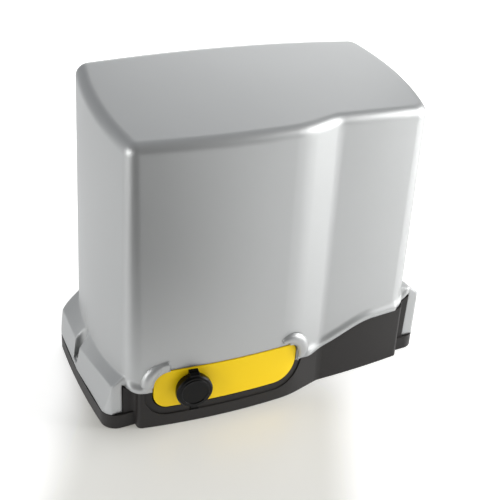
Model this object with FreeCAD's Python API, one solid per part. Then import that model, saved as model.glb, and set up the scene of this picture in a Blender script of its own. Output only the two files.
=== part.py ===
import FreeCAD, Part
import math
import os

# Sliding gate operator: a drafted cover over a cast base that carries a worm gearbox with its
# motor on top, the release gear behind a lever in the front, and the electrics.
# Millimetres. +X right and -Y front, as the installer sees it from the drive; +Z up.
# Origin: middle of the four anchor slots, on the underside of the base.

V = FreeCAD.Vector
os.makedirs("parts", exist_ok=True)

# ---- Driving sizes: cover ----
wall = 2.8                # moulded wall of the cover
draft = 0.03              # every wall leans in by this much per mm of height
end_mid = 150.0           # half width of the cover body at mid depth, taken down to z = 0
end_back = 139.5          # half width at the back
corner_left = 142.0       # front corners, left and right of the centre
corner_right = 131.5
cover_back = 72.0         # back of the cover, taken down to z = 0
bulge_x = -20.0           # the front bulge is one large arc: its crest, reach and radius
bulge_reach = 89.3
bulge_radius = 551.0
shoulder_x = 5.0          # where the bulge turns in towards the panel
panel_x = 39.0            # where the slope meets the flat right-hand panel
panel_reach = 79.9        # reach of the panel at its edge, middle and right corner
panel_crown = 1.3
panel_corner = 77.0
corner_r = {"left": 19.0, "right": 25.0, "back": 21.0, "back_left": 21.0,
            "shoulder": 90.0, "valley": 22.0}
top_back = 275.3          # height of the top surface over its back edge
top_slope = 0.183         # fall of the top per mm towards the front
top_crown = 4.3           # rise of the top's middle over its ends
top_edge = 9.5            # rounding of the top edge
rim_low = 35.7            # lower rim of the cover's front, left of the S
rim_rise = 19.6           # how much the S lifts it
rim_s = (22.0, 94.0)      # where the S begins and ends
rim_end = (7.0, 10.0)     # how much the rim curls up at its left and right ends
rim_end_x = (129.0, 124.0)
rim_flare = 2.2           # how far the rim flares out
flare_height = 12.0
skirt_foot = 14.3         # lower edge of the skirts
skirt_gap_x = 144.2       # inner upright edge of the skirts' front
skirt_front = 68.0
skirt_crease = 36.0       # height of the left skirt's fold, of its front end, and of its root
skirt_fold = 43.0
skirt_root = 51.5
# ---- Driving sizes: base ----
ear_tip = 162.0           # half width over the ears at mid depth
ear_end = 158.5           # half width at the ears' front and back ends
ear_depth = 70.5          # ears and base, front and back of the centre
ear_corner_r = 14.0
ear_draft = 0.01
floor_t = 6.0
base_wall = 4.0
base_side = 134.0         # half width of the base's raised body
base_r = {"left": 5.0, "right": 5.0, "back": 9.0, "back_left": 9.0, "shoulder": 90.0,
          "valley": 22.0}
base_inner_r = 9.0        # the same corners of its hollow, before its wall is taken off
step_y = 69.0             # front of the low shoulders that close the base under the skirts
step_r = 3.4
fit_gap = 0.7             # gap between the cover's rim and the base's rim
slot_x = 146.0            # anchor slots: half spacings, width and length
slot_y = 50.0
slot_w = 9.0
slot_l = 16.0
well_x = 154.8            # cover screw wells: place, radius, wall
well_y = 10.0
well_r = 7.5
well_wall = 2.2
screw_r = 2.5
insert_r = 4.0
inlet_x = -92.0           # cable inlet in the floor
inlet_y = -8.0
inlet_r = 17.0
level_x = 118.0           # levelling screws
level_y = 42.0
level_r = 5.0
# ---- Driving sizes: release lever and lock ----
lever_left = -120.5
lever_right = 9.0
lever_low = 19.0
lever_high = 54.7
lever_t = 2.8
lever_radii = {"tl": 13.0, "bl": 12.0, "br": 22.0, "tr": 8.0}
lever_gap = 1.2
recess_border = 6.5
recess_depth = 1.0
hinge_x = -15.0
hinge_inset = 6.6         # hinge axis behind the lever's face
pin_r = 1.6
knuckle_r = 3.3
recess_back = -54.5       # back wall of the recess box, inside
box_wall = 2.5
lock_x = -88.5
lock_z = 36.0
barrel_r = 10.0
plug_r = 6.0
collar_r = 14.4
collar_t = 3.2
cap_r = 15.6
cap_t = 5.0
cap_skin = 1.6
cam_t = 4.0
cam_z = 35.0              # underside of the release cam
cam_start = 7.5           # follower radius with the lever shut
cam_travel = 5.0          # what it gains over a quarter turn
follower_r = 1.5
rod_r = 3.0
# ---- Driving sizes: gear train ----
shaft_z = 92.0
shaft_r = 10.0
wheel_y = 2.0
wheel_module = 2.5
wheel_teeth = 30
wheel_face = 16.0
worm_pitch_r = 12.5
worm_length = 40.0
tooth_play = 0.32         # taken off each flank of the worm wheel
pinion_module = 4.0
pinion_teeth = 16
pinion_face = 28.0
pinion_y = 74.0           # near face of the drive pinion
run_gap = 0.05            # radial clearance of running fits
seat_gap = 0.02           # radial clearance where a piece is seated
ring_t = 12.0             # clutch ring
ring_r = 18.0
dog_depth = 4.5
bearing_r = 23.5          # output bearings
bearing_t = 14.0
worm_shaft_r = 7.5
worm_bearing_r = 16.0
worm_bearing_t = 9.0
drum_r = 50.0             # outside of the gear case
case_wall = 6.0
case_front = -28.0        # front face of the gear case and its joint face with the rear cover
case_joint = 31.0
plate_t = 8.0
nose_half = 48.5          # rear cover's raised face, which fills the cover's cut-out
nose_top = 142.0          # centre of its arched top
nose_low = 37.0
nose_gap = 1.5
wand_z = 168.0            # limit switch feeler
wand_y = 58.5
wand_reach = 54.0
# ---- Driving sizes: motor ----
flange_z = 150.0          # joint face between gear case and motor
flange_t = 10.0
can_r = 46.0
can_t = 2.5
can_h = 74.0
stack_h = 52.0
stator_bore = 27.0
rotor_play = 0.6

# ---- Places that follow from them ----
worm_x = worm_pitch_r + wheel_module * wheel_teeth / 2
housing_right = 20.5      # right end of the recess box
rod_z = cam_z - rod_r - 0.5
fork_y = 16.3             # middle of the clutch ring's groove, and the fork's thickness
fork_t = 3.4
groove_r = 14.5
key_w = 6.0
ring_key = (10.4, 30.0)   # feather keys along the shaft
pinion_key = (76.0, 100.0)
nose_start = 50.0         # where the rear cover's arched face begins and ends
nose_back = 69.0
front_bearing_y = case_front + case_wall
rear_bearing_y = 38.0
worm_seat_low = 50.0
worm_seat_high = 128.0
worm_low = 51.0
rotor_top = 238.0
thread_turn = -180.0 * worm_length / (math.pi * wheel_module)
top_bearing_r = 14.0
top_shaft_r = 7.5
cap_axis_y = -5.2         # hinge of the dust cap, from the lock's face
cap_axis_z = 16.8
tongue_reach = 15.0
ear_wall = 3.2
lip_inset = 3.6
lip_t = 2.0
lip_rise = 4.0
screw_boss_r = 6.5
level_boss = 14.0
board_x0 = -124.0
board_x1 = -12.0
board_y = -54.0
board_z0 = 78.0
board_z1 = 186.0
cap_x = 104.0
cap_y = -8.0
earth_x = -58.0
earth_y = -28.0


# ---- Shared shape functions ----
def box(x0, x1, y0, y1, z0, z1):
    return Part.makeBox(x1 - x0, y1 - y0, z1 - z0, V(x0, y0, z0))


def rod(radius, height, base, axis=(0, 0, 1)):
    return Part.makeCylinder(radius, height, V(*base), V(*axis))


def tube(outer, inner, height, base, axis=(0, 0, 1)):
    return rod(outer, height, base, axis).cut(rod(inner, height, base, axis))


def joined(*solids):
    shape = solids[0].multiFuse(list(solids[1:])) if len(solids) > 1 else solids[0]
    return shape.removeSplitter()


def arc(a, b, c):
    return Part.Arc(V(*a), V(*b), V(*c)).toShape()


def line(a, b):
    return Part.LineSegment(V(*a), V(*b)).toShape()


def upright_near(solid, x, y):
    """The upright edge of a solid whose lower end stands nearest a plan point."""
    def distance(edge):
        low = min(edge.Vertexes, key=lambda v: v.Z)
        return math.hypot(low.X - x, low.Y - y)
    rising = [e for e in solid.Edges if len(e.Vertexes) == 2
              and abs(e.Vertexes[0].Z - e.Vertexes[1].Z) > 0.8 * solid.BoundBox.ZLength]
    return min(rising, key=distance)


def rounded(solid, corners):
    """Fillet the upright edges near the given (x, y, radius) plan points."""
    for x, y, radius in corners:
        solid = solid.makeFillet(radius, [upright_near(solid, x, y)])
    return solid


def save(name, *solids):
    """Write one node: one solid, or a group of separate solids."""
    pieces = [piece for solid in solids for piece in solid.Solids]
    shape = pieces[0] if len(pieces) == 1 else Part.makeCompound(pieces)
    shape.exportStep(f"parts/{name}.step")


# ---- Plan and top of the cover ----
def bulge_y(x):
    """Front of the bulge at z = 0: one circle."""
    return -bulge_reach + bulge_radius - math.sqrt(bulge_radius ** 2 - (x - bulge_x) ** 2)


def front_y(x, z):
    """Front face of cover and base at any place: bulge, slope or panel, leaning back."""
    if x <= shoulder_x:
        y = bulge_y(x)
    elif x <= panel_x:
        share = (x - shoulder_x) / (panel_x - shoulder_x)
        y = bulge_y(shoulder_x) * (1 - share) - panel_reach * share
    else:
        share = (x - panel_x) / (corner_right - panel_x)
        y = -panel_reach * (1 - share) - panel_corner * share - 4 * panel_crown * share * (1 - share)
    return y + draft * z


def sharp_plan(left, right, mid, back, rear):
    """Corners and edges of the outline at z = 0: bulge, slope, panel, bowed ends and back."""
    a = (-left, bulge_y(-left), 0)
    b = (shoulder_x, bulge_y(shoulder_x), 0)
    c = (panel_x, -panel_reach, 0)
    d = (right, -panel_corner, 0)
    crest = ((panel_x + right) / 2, -(panel_reach + panel_corner) / 2 - panel_crown, 0)
    e, f = (back, rear, 0), (-back, rear, 0)
    edges = [arc(a, (bulge_x, -bulge_reach, 0), b), line(b, c), arc(c, crest, d),
             arc(d, (mid, 5.0, 0), e), line(e, f), arc(f, (-mid, 5.0, 0), a)]
    return edges, {"left": a, "shoulder": b, "valley": c, "right": d, "back": e, "back_left": f}


def smooth_plan(edges, corners, radii):
    """The outline as one wire of lines and arcs, every corner rounded."""
    slab = Part.Face(Part.Wire(edges)).extrude(V(0, 0, 10))
    for key, (x, y, _) in corners.items():
        slab = slab.makeFillet(radii[key], [upright_near(slab, x, y)])
    return min(slab.Faces, key=lambda face: face.CenterOfMass.z)


def moved_in(face, distance, z):
    """The outline of a smooth face, moved in by a distance and lifted to z."""
    edges = []
    for edge in Part.__sortEdges__(face.OuterWire.Edges):
        first, last = edge.ParameterRange
        spots = []
        for u in (first, (first + last) / 2, last):
            point, along = edge.valueAt(u), edge.tangentAt(u)
            inward = V(-along.y, along.x, 0)
            if not face.isInside(point + inward * 0.5, 1e-6, True):
                inward = inward * -1
            spots.append(point + inward * distance + V(0, 0, z))
        if edge.Curve.TypeId == "Part::GeomLine":
            edges.append(Part.LineSegment(spots[0], spots[2]).toShape())
        else:
            edges.append(Part.Arc(*spots).toShape())
    return Part.Wire(edges)


def drafted(face, draft, inset, z0, z1):
    """A prism whose walls all lean in by the draft."""
    return Part.makeLoft([moved_in(face, draft * z + inset, z) for z in (z0, z1)], True, True)


cover_face = smooth_plan(*sharp_plan(corner_left, corner_right, end_mid, end_back, cover_back),
                         corner_r)
base_face = smooth_plan(*sharp_plan(base_side, base_side - 2, base_side + 1, base_side, ear_depth),
                        base_r)


base_inner_face = smooth_plan(*sharp_plan(base_side, base_side - 2, base_side + 1, base_side,
                                          ear_depth),
                              dict(base_r, left=base_inner_r, right=base_inner_r))


def cover_prism(inset, z0, z1):
    return drafted(cover_face, draft, inset, z0, z1)


def under_top(drop):
    """Everything under the crowned, sloping top surface, lowered by drop."""
    y0 = cover_back + 20
    z0 = top_back + top_slope * 20 - drop
    reach = end_mid + 20
    edge = z0 + top_crown * (1 - (reach / corner_right) ** 2)
    run = 2 * cover_back + 80
    left, right = (-reach, y0, edge), (reach, y0, edge)
    low_l, low_r = (-reach, y0, -60), (reach, y0, -60)
    face = Part.Face(Part.Wire([arc(left, (0, y0, z0 + top_crown), right), line(right, low_r),
                                line(low_r, low_l), line(low_l, left)]))
    return face.extrude(V(0, -run, -run * top_slope))


def cover_body(inset, z0):
    """The cover body under its top surface, its top edge rounded."""
    solid = cover_prism(inset, z0, top_back + 30).common(under_top(inset * 1.07))
    top = max(solid.Faces, key=lambda face: face.CenterOfMass.z)
    return solid.makeFillet(top_edge - inset * 1.1, top.OuterWire.Edges)


# ---- Rim and skirts ----
def rim_z(x):
    """Height of the cover's front rim: low on the left, an S up to the right, curled-up ends."""
    share = min(max((x - rim_s[0]) / (rim_s[1] - rim_s[0]), 0.0), 1.0)
    rise = rim_rise * (share * share * (3 - 2 * share))
    side = 1 if x > 0 else 0
    past = max(abs(x) - rim_end_x[side], 0.0) / (skirt_gap_x - rim_end_x[side])
    return rim_low + rise + rim_end[side] * past * past


def under_rim(drop, x0, x1, y0, y1, low=-10.0):
    """Everything under the rim curve between x0 and x1, lowered by drop."""
    def at(x):
        return V(x, y0, rim_z(x) - drop)

    def curl(end, start):
        return Part.Arc(at(end), at((end + start) / 2), at(start)).toShape()
    knots = [rim_s[0] + (rim_s[1] - rim_s[0]) * i / 8 for i in range(9)]
    curve = Part.BSplineCurve()
    curve.interpolate([at(x) for x in knots], InitialTangent=V(1, 0, 0), FinalTangent=V(1, 0, 0))
    left, right = -rim_end_x[0], rim_end_x[1]
    edges = [curl(x0, left), line(at(left), at(knots[0])), curve.toShape(),
             line(at(knots[-1]), at(right)), curl(right, x1)]
    low_l, low_r = V(x0, y0, low), V(x1, y0, low)
    edges += [line(at(x1), low_r), line(low_r, low_l), line(low_l, at(x0))]
    return Part.Face(Part.Wire(edges)).extrude(V(0, y1 - y0, 0))


def ear_prism(side, inset, z0, z1):
    """One ear's outline as a drafted prism from the base's side wall out to the tip."""
    def outline(z):
        out = ear_draft * z + inset
        y = ear_depth - inset - ear_draft * z
        near = side * (base_side - 8)
        a, b = (near, -y, z), (side * (ear_end - out), -y, z)
        c, d = (side * (ear_end - out), y, z), (near, y, z)
        sharp = Part.Wire([line(a, b), arc(b, (side * (ear_tip - out), 0, z), c), line(c, d),
                           line(d, a)])
        slab = Part.Face(sharp).extrude(V(0, 0, 10))
        slab = rounded(slab, [(b[0], b[1], ear_corner_r - inset), (c[0], c[1], ear_corner_r - inset)])
        return min(slab.Faces, key=lambda face: face.CenterOfMass.z).OuterWire
    return Part.makeLoft([outline(z0), outline(z1)], True, True)


def skirt_lift(side):
    """The right skirt stands higher, as the rim does."""
    return rim_rise if side > 0 else 0.0


def skirt_slope(side, inset):
    """Everything under a skirt's sloping top: from the end wall's arc down to the shoulder."""
    lift = skirt_lift(side)
    root = skirt_root + lift - inset * 1.2
    sections = []
    for y, wall_x, tip, fold_in, fold in ((-ear_depth - 6, corner_left, ear_end, 6.5, skirt_fold),
                                          (0.0, end_mid, ear_tip, 4.0, skirt_crease),
                                          (ear_depth + 6, end_back, ear_end, 4.0, skirt_crease)):
        start = wall_x - draft * root - 1.0
        fold_x = tip - fold_in - inset * 0.8
        fold_z = fold + lift - inset * 1.2
        fall = (fold_z - skirt_foot) / (tip - inset * 0.8 - fold_x)
        far = tip - inset * 0.8 + 1.2
        points = [V(side * 118, y, 0), V(side * far, y, 0),
                  V(side * far, y, fold_z - (far - fold_x) * fall),
                  V(side * fold_x, y, fold_z), V(side * start, y, root), V(side * 118, y, root)]
        sections.append(Part.makePolygon(points + points[:1]))
    return Part.makeLoft(sections, True, True)


def skirt_block(side, inset, z0):
    """Outer or inner form of one skirt, with a soft shoulder."""
    ear = ear_prism(side, inset, z0, 100).cut(
        box(-200, 200, -ear_depth - 20, -skirt_front + inset, -20, 120))
    return ear.common(skirt_slope(side, inset))


# ---- Cover shell ----
def flare():
    """The rim's flare: a thin wedge that leans out of the front and follows the S."""
    start, end = lever_right + lever_gap + 1.0, corner_right - 12.0
    sections = []
    for i in range(13):
        x = start + (end - start) * i / 12
        low, high = rim_z(x) - 2.0, rim_z(x) + flare_height
        sections.append(Part.makePolygon([
            V(x, front_y(x, low) - rim_flare, low), V(x, front_y(x, high) + 0.6, high),
            V(x, front_y(x, low) + 2.0, low), V(x, front_y(x, low) - rim_flare, low)]))
    return Part.makeLoft(sections, True, False)


def well(side, radius, z0, z1):
    return rod(radius, z1 - z0, (side * well_x, well_y, z0))


def lever_outline(grow, y0, y1):
    """The lever's rounded outline in the front, grown by a gap, as a bar along Y."""
    x0, x1 = lever_left - grow, lever_right + grow
    z0, z1 = lever_low - grow, lever_high + grow
    bar = box(x0, x1, y0, y1, z0, z1)
    spots = {"tl": (x0, z1), "bl": (x0, z0), "br": (x1, z0), "tr": (x1, z1)}
    for key, (x, z) in spots.items():
        edges = [e for e in bar.Edges if abs(e.CenterOfMass.x - x) < 0.01
                 and abs(e.CenterOfMass.z - z) < 0.01]
        bar = bar.makeFillet(lever_radii[key] + grow, edges)
    return bar


def lug(x, z, radius, quarter):
    """A raised arch round one upper corner of the lever's cut-out."""
    outer = radius + lever_gap + 7.5
    disc = rod(outer, 60, (x, -bulge_reach - 30, z), (0, 1, 0))
    corner = box(min(x, x + quarter * outer), max(x, x + quarter * outer),
                 -bulge_reach - 30, -bulge_reach + 30, z, z + outer)
    return disc.common(corner)


def nose_outline(grow, y0, y1, low):
    """Arched outline of the gearbox's raised rear face, as a bar along Y."""
    half = nose_half + grow
    return joined(box(-half, half, y0, y1, low, nose_top),
                  rod(half, y1 - y0, (0, y0, nose_top), (0, 1, 0)))


def cover_shell():
    outer = cover_body(0, rim_low - 3)
    inner = cover_body(wall, -5)
    band = cover_prism(-rim_flare, 0, 120)
    lugs = joined(lug(lever_left + lever_radii["tl"], lever_high - lever_radii["tl"],
                      lever_radii["tl"], -1),
                  lug(lever_right - lever_radii["tr"], lever_high - lever_radii["tr"],
                      lever_radii["tr"], 1)).common(band)
    sides = (-1, 1)
    outer = joined(outer, flare(), lugs, *[skirt_block(s, 0, skirt_foot) for s in sides])
    hollow = joined(inner, *[skirt_block(s, wall, -5) for s in sides])
    shell = outer.cut(hollow)
    pillars = [well(s, well_r + well_wall, skirt_foot, skirt_root + skirt_lift(s)) for s in sides]
    for s, pillar in zip(sides, pillars):
        inside = pillar.common(skirt_block(s, 0.5, 0))
        shell = shell.fuse(inside)
    for s in sides:
        top = skirt_root + skirt_lift(s)
        shell = shell.cut(well(s, well_r, skirt_foot + 3.5, top + 30))
        shell = shell.cut(well(s, screw_r + 0.4, 0, top))
    front = box(-skirt_gap_x, skirt_gap_x - 2.0, -120, recess_back, -10, 80)
    below = under_rim(0, -skirt_gap_x, skirt_gap_x - 2.0, -120, -50)
    shell = shell.cut(below.common(front))
    shell = shell.cut(lever_outline(lever_gap, -120, -60))
    shell = shell.cut(nose_outline(nose_gap, cover_back - 12, cover_back + 5, -10))
    shell = shell.cut(box(-base_side - fit_gap, base_side + fit_gap, cover_back - 12,
                          cover_back + 5, -10, nose_low))
    return max(shell.Solids, key=lambda solid: solid.Volume)


save("cover_shell", cover_shell())


# ---- Base ----
def each_side(make):
    return [make(side) for side in (-1, 1)]


def base_step(side):
    """The base's front steps back beside its body, with a hollow corner, to close the skirt."""
    x0, x1 = base_side - 14, skirt_gap_x - fit_gap
    if side > 0:
        x1 -= 2.0
    x_in = (base_side - (2 if side > 0 else 0)) - 0.8
    y = -step_y
    wall_block = box(min(side * x0, side * x1), max(side * x0, side * x1), y, y + 9, 0, 80)
    reach = step_r + 0.8
    a = (side * (x_in - 1.7), y + 0.1, 0)
    b = (side * (x_in + reach), y, 0)
    c = (side * x_in, y - reach, 0)
    d = (side * (x_in - 1.7), y - reach, 0)
    k = reach * (1 - math.sqrt(0.5))
    mid = (side * (x_in + k), y - k, 0)
    web = Part.Face(Part.Wire([line(a, b), arc(b, mid, c), line(c, d), line(d, a)])).extrude(V(0, 0, 80))
    return joined(wall_block, web)


def base_tray():
    """Casting: floor, raised body with the S-shaped front, two low ears, bosses and holes."""
    body = joined(drafted(base_face, draft, 0, 0, 80), *each_side(base_step))
    body = body.common(under_rim(fit_gap, -skirt_gap_x - 2, skirt_gap_x + 2, -120, 100))
    body = body.cut(box(-200, 200, ear_depth - 12, 120, nose_low - fit_gap, 100))
    body = body.cut(drafted(base_inner_face, draft, base_wall, floor_t, 80))
    ears = each_side(lambda s: ear_prism(s, 0, 0, skirt_foot - fit_gap).cut(
        ear_prism(s, ear_wall, floor_t, 40).cut(box(-base_side, base_side, -100, 100, -1, 60))))
    upstand = drafted(base_inner_face, draft, lip_inset, rim_low - 12, 75).cut(
        drafted(base_inner_face, draft, lip_inset + lip_t, rim_low - 15, 80))
    upstand = upstand.common(under_rim(-lip_rise, -base_side - 5, base_side + 5, -120, -40))
    upstand = upstand.common(cover_prism(wall + 0.5, rim_low - 15, 80))
    upstand = upstand.cut(box(lever_left - 6, housing_right + 1.5, -120, -30, 0, 90))
    bosses = each_side(lambda s: rod(screw_boss_r, skirt_foot - 0.3, (s * well_x, well_y, 0)))
    pads = [rod(level_r + 4, level_boss, (sx * level_x, sy * level_y, 0))
            for sx in (-1, 1) for sy in (-1, 1)]
    tray = joined(body, upstand, *ears, *bosses, *pads)
    border = lever_outline(lever_gap + recess_border, -120, -60).cut(
        drafted(base_inner_face, draft, recess_depth, -5, 80))
    tray = tray.cut(border)
    holes = [lever_outline(lever_gap, -120, recess_back - 4),
             rod(inlet_r, 40, (inlet_x, inlet_y, -10))]
    for sx in (-1, 1):
        holes.append(rod(insert_r, 30, (sx * well_x, well_y, floor_t - 2)))
        for sy in (-1, 1):
            holes.append(rod(level_r, 60, (sx * level_x, sy * level_y, -10)))
            run = (slot_l - slot_w) / 2
            x, y = sx * slot_x, sy * slot_y
            holes.append(box(x - run, x + run, y - slot_w / 2, y + slot_w / 2, -5, 40))
            holes += [rod(slot_w / 2, 45, (x + end * run, y, -5)) for end in (-1, 1)]
    for hole in holes:
        tray = tray.cut(hole)
    return max(tray.Solids, key=lambda solid: solid.Volume)


def screw(x, y, seat, shank_r, length, head_r, head_h, socket):
    """A cap screw, head up, its head resting at the seat height."""
    body = joined(rod(head_r, head_h, (x, y, seat)), rod(shank_r, length, (x, y, seat - length)))
    return body.cut(hexagon(socket, head_h * 0.6, (x, y, seat + head_h * 0.4)))


def hexagon(across, height, base, axis=(0, 0, 1)):
    """A six-sided bar, across its flats."""
    corner = across / math.sqrt(3)
    points = [V(corner * math.cos(math.radians(60 * i)), corner * math.sin(math.radians(60 * i)), 0)
              for i in range(6)]
    bar = Part.Face(Part.makePolygon(points + points[:1])).extrude(V(0, 0, height))
    bar.Placement = FreeCAD.Placement(V(*base), FreeCAD.Rotation(V(0, 0, 1), V(*axis)))
    return bar


well_floor = skirt_foot + 3.5
save("base_tray", base_tray())
save("cover_screws", *each_side(lambda s: screw(s * well_x, well_y, well_floor, screw_r, 13.0,
                                                4.5, 3.2, 3.0)))
save("screw_inserts", *each_side(lambda s: tube(insert_r - seat_gap, screw_r + run_gap, 9.0,
                                                (s * well_x, well_y, floor_t - 1.5))))
save("levelling_screws", *[rod(level_r - seat_gap, 14.0, (sx * level_x, sy * level_y, 1.0)).cut(
    hexagon(5.0, 6.0, (sx * level_x, sy * level_y, 9.5))) for sx in (-1, 1) for sy in (-1, 1)])
grommet = joined(tube(inlet_r - seat_gap, inlet_r - 4, floor_t, (inlet_x, inlet_y, 0)),
                 tube(inlet_r + 3, inlet_r - 4, 3.0, (inlet_x, inlet_y, floor_t)))
save("cable_grommet", grommet)


# ---- Release lever, its recess box and its lock ----
hinge_y = front_y(hinge_x, (lever_low + lever_high) / 2) + hinge_inset


def skin(face, depth0, depth1, z0, z1):
    """The layer of a drafted wall between two depths under its face."""
    return drafted(face, draft, depth0, z0, z1).cut(drafted(face, draft, depth1, z0 - 5, z1 + 5))


def release_housing():
    """Recess box behind the lever, open to the front, with the hinge lugs and the rod's guide."""
    inside_front = drafted(base_inner_face, draft, base_wall + 0.6, 0, 90)
    shell = box(lever_left - 4.5, housing_right, -120, recess_back + box_wall, floor_t + 8, 60)
    shell = shell.common(inside_front)
    shell = shell.cut(box(lever_left - 2, housing_right - box_wall, -120, recess_back,
                          floor_t + 8 + box_wall, 60 - box_wall))
    behind_lever = drafted(base_inner_face, draft, lever_t + 0.5, 0, 90)
    inside_front = joined(inside_front, lever_outline(lever_gap - 0.3, -120, -60))
    lug_low = rod(4.0, lever_low - 0.4 - floor_t - 8, (hinge_x, hinge_y, floor_t + 8)).common(
        behind_lever).common(inside_front)
    lug_high = box(hinge_x - 5, hinge_x + 5, -120, hinge_y + 6, 60 - box_wall, 60).common(
        behind_lever).common(inside_front)
    guide = rod(rod_r + 2.5, 12.0, (hinge_x, recess_back - 1, rod_z), (0, 1, 0))
    strike = box(lever_left - 3, lock_x - 12, -70.5, -66.8, lock_z - 6, lock_z + 6)
    feet = [box(x, x + 8, recess_back - 10, recess_back, floor_t, floor_t + 9)
            for x in (lever_left + 2, -60.0, housing_right - 12)]
    body = joined(shell, lug_low, lug_high, guide, strike, *feet)
    body = body.cut(rod(pin_r + seat_gap, 80, (hinge_x, hinge_y, 0)))
    return body.cut(rod(rod_r + run_gap, 40, (hinge_x, recess_back - 10, rod_z), (0, 1, 0)))


def release_lever():
    """Flush plate that follows the front, with a knuckle behind its right end."""
    plate = skin(base_inner_face, 0.2, lever_t, 0, 80).common(lever_outline(0, -120, -40))
    z0, z1 = lever_low + 6, lever_high - 3
    knuckle = joined(rod(knuckle_r, z1 - z0, (hinge_x, hinge_y, z0)),
                     box(hinge_x - knuckle_r, hinge_x + 1.5, hinge_y - hinge_inset + lever_t - 1.5,
                         hinge_y, z0, z1))
    slot = box(hinge_x - 8, hinge_x + 12, hinge_y - knuckle_r - 0.2, hinge_y + 9, cam_z - 0.1,
               cam_z + cam_t + 0.1)
    body = joined(plate, knuckle.cut(slot))
    body = body.cut(rod(pin_r + run_gap, 80, (hinge_x, hinge_y, 0)))
    body = body.cut(box(hinge_x + 16, hinge_x + 28, hinge_y - rod_r - 0.4, hinge_y + 6,
                        rod_z - rod_r - 0.4, rod_z + rod_r + 0.4))
    return body.cut(in_lock(rod(barrel_r + seat_gap, 30, (0, -10, 0), (0, 1, 0))))


def in_lock(shape):
    """Place a shape made round the lock's own axis (-Y, through the origin) on the lever."""
    slope = (lock_x - bulge_x) / bulge_radius
    shape.rotate(V(0, 0, 0), V(0, 0, 1), math.degrees(math.asin(slope)))
    shape.translate(V(lock_x, front_y(lock_x, lock_z), lock_z))
    return shape


def lock_plug():
    """Plug with a flat keyway and a tongue behind the barrel."""
    plug = rod(plug_r, 22.0, (0, -2.5, 0), (0, 1, 0))
    tongue = joined(box(-4, 4, 18.4, 20.9, -tongue_reach, 0), rod(4, 2.5, (0, 18.4, 0), (0, 1, 0)))
    body = joined(plug, tongue, rod(3.5, 23.5, (0, -1.5, 0), (0, 1, 0)))
    return body.cut(box(-0.8, 0.8, -5, 8, -4.2, 4.2))


def cap_collar():
    ring = tube(collar_r, barrel_r + seat_gap, collar_t, (0, -collar_t - 0.25, 0), (0, 1, 0))
    lug_top = box(-4, 4, -collar_t - 0.25, -0.45, collar_r - 2, cap_axis_z + 1.5)
    return joined(ring, lug_top.cut(rod(collar_r - 0.5, 20, (0, -10, 0), (0, 1, 0))))


def dust_cap():
    """Rubber cap: shallow cup with a rolled edge, hinge bead on top and a pull tab below."""
    back = -collar_t - 0.55
    cup = rod(cap_r, cap_t, (0, back - cap_t, 0), (0, 1, 0))
    rims = [e for e in cup.Edges if abs(e.CenterOfMass.y - (back - cap_t)) < 0.01]
    cup = cup.makeChamfer(1.3, rims)
    cup = cup.cut(rod(plug_r + 3, cap_t - cap_skin, (0, back - cap_t + cap_skin, 0), (0, 1, 0)))
    bead = rod(1.4, 8.0, (-4, cap_axis_y, cap_axis_z), (1, 0, 0))
    strap = box(-4, 4, back - cap_t + 1.2, cap_axis_y, cap_r - 3, cap_axis_z)
    tab = box(-3.2, 3.2, back - cap_t + 1.4, back - 0.8, -cap_r - 3.5, -cap_r + 2)
    grip = rod(0.9, 8.0, (-4, back - cap_t + 1.6, -cap_r - 2.8), (1, 0, 0))
    ring = tube(cap_r - 3.2, cap_r - 4.4, 0.7, (0, back - cap_t - 0.6, 0), (0, 1, 0))
    return joined(cup, bead, strap, tab, grip, ring)


def release_cam():
    """Sector with a spiral slot: the follower gains radius in step with the lever's angle."""
    outer = cam_start + cam_travel + follower_r + 2.0

    def spiral(shift):
        curve = Part.BSplineCurve()
        points = []
        for i in range(-1, 10):
            angle = math.radians(90 - 11.25 * i)
            radius = cam_start + cam_travel * i / 8 + shift
            points.append(V(radius * math.cos(angle), radius * math.sin(angle), cam_z - 1))
        curve.interpolate(points[1:-1])
        return curve.toShape(), points[1], points[-2]
    half = (follower_r + 0.15) / math.cos(math.atan(cam_travel / (math.pi / 2) / cam_start))
    inner_edge, a, b = spiral(-half)
    outer_edge, c, d = spiral(half)
    slot = Part.Face(Part.Wire([inner_edge, Part.LineSegment(b, d).toShape(), outer_edge,
                                Part.LineSegment(c, a).toShape()])).extrude(V(0, 0, cam_t + 2))
    ends = [rod(half, cam_t + 2, (0, cam_start, cam_z - 1)),
            rod(half, cam_t + 2, (cam_start + cam_travel, 0, cam_z - 1))]
    disc = rod(outer, cam_t, (0, 0, cam_z))
    sector = disc.common(box(-4.5, outer + 1, -hinge_inset + lever_t + 0.3, outer + 1, cam_z - 1,
                             cam_z + cam_t + 1))
    hub = rod(knuckle_r + 0.6, cam_t, (0, 0, cam_z))
    hub = hub.common(box(-9, 9, -hinge_inset + lever_t + 0.3, 9, cam_z - 1, cam_z + cam_t + 1))
    cam = joined(sector, hub)
    for tool in [slot] + ends + [rod(pin_r + seat_gap, cam_t + 2, (0, 0, cam_z - 1))]:
        cam = cam.cut(tool)
    cam.translate(V(hinge_x, hinge_y, 0))
    cam = cam.common(drafted(base_inner_face, draft, lever_t + 0.3, 0, 90))
    return max(cam.Solids, key=lambda solid: solid.Volume)


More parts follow.
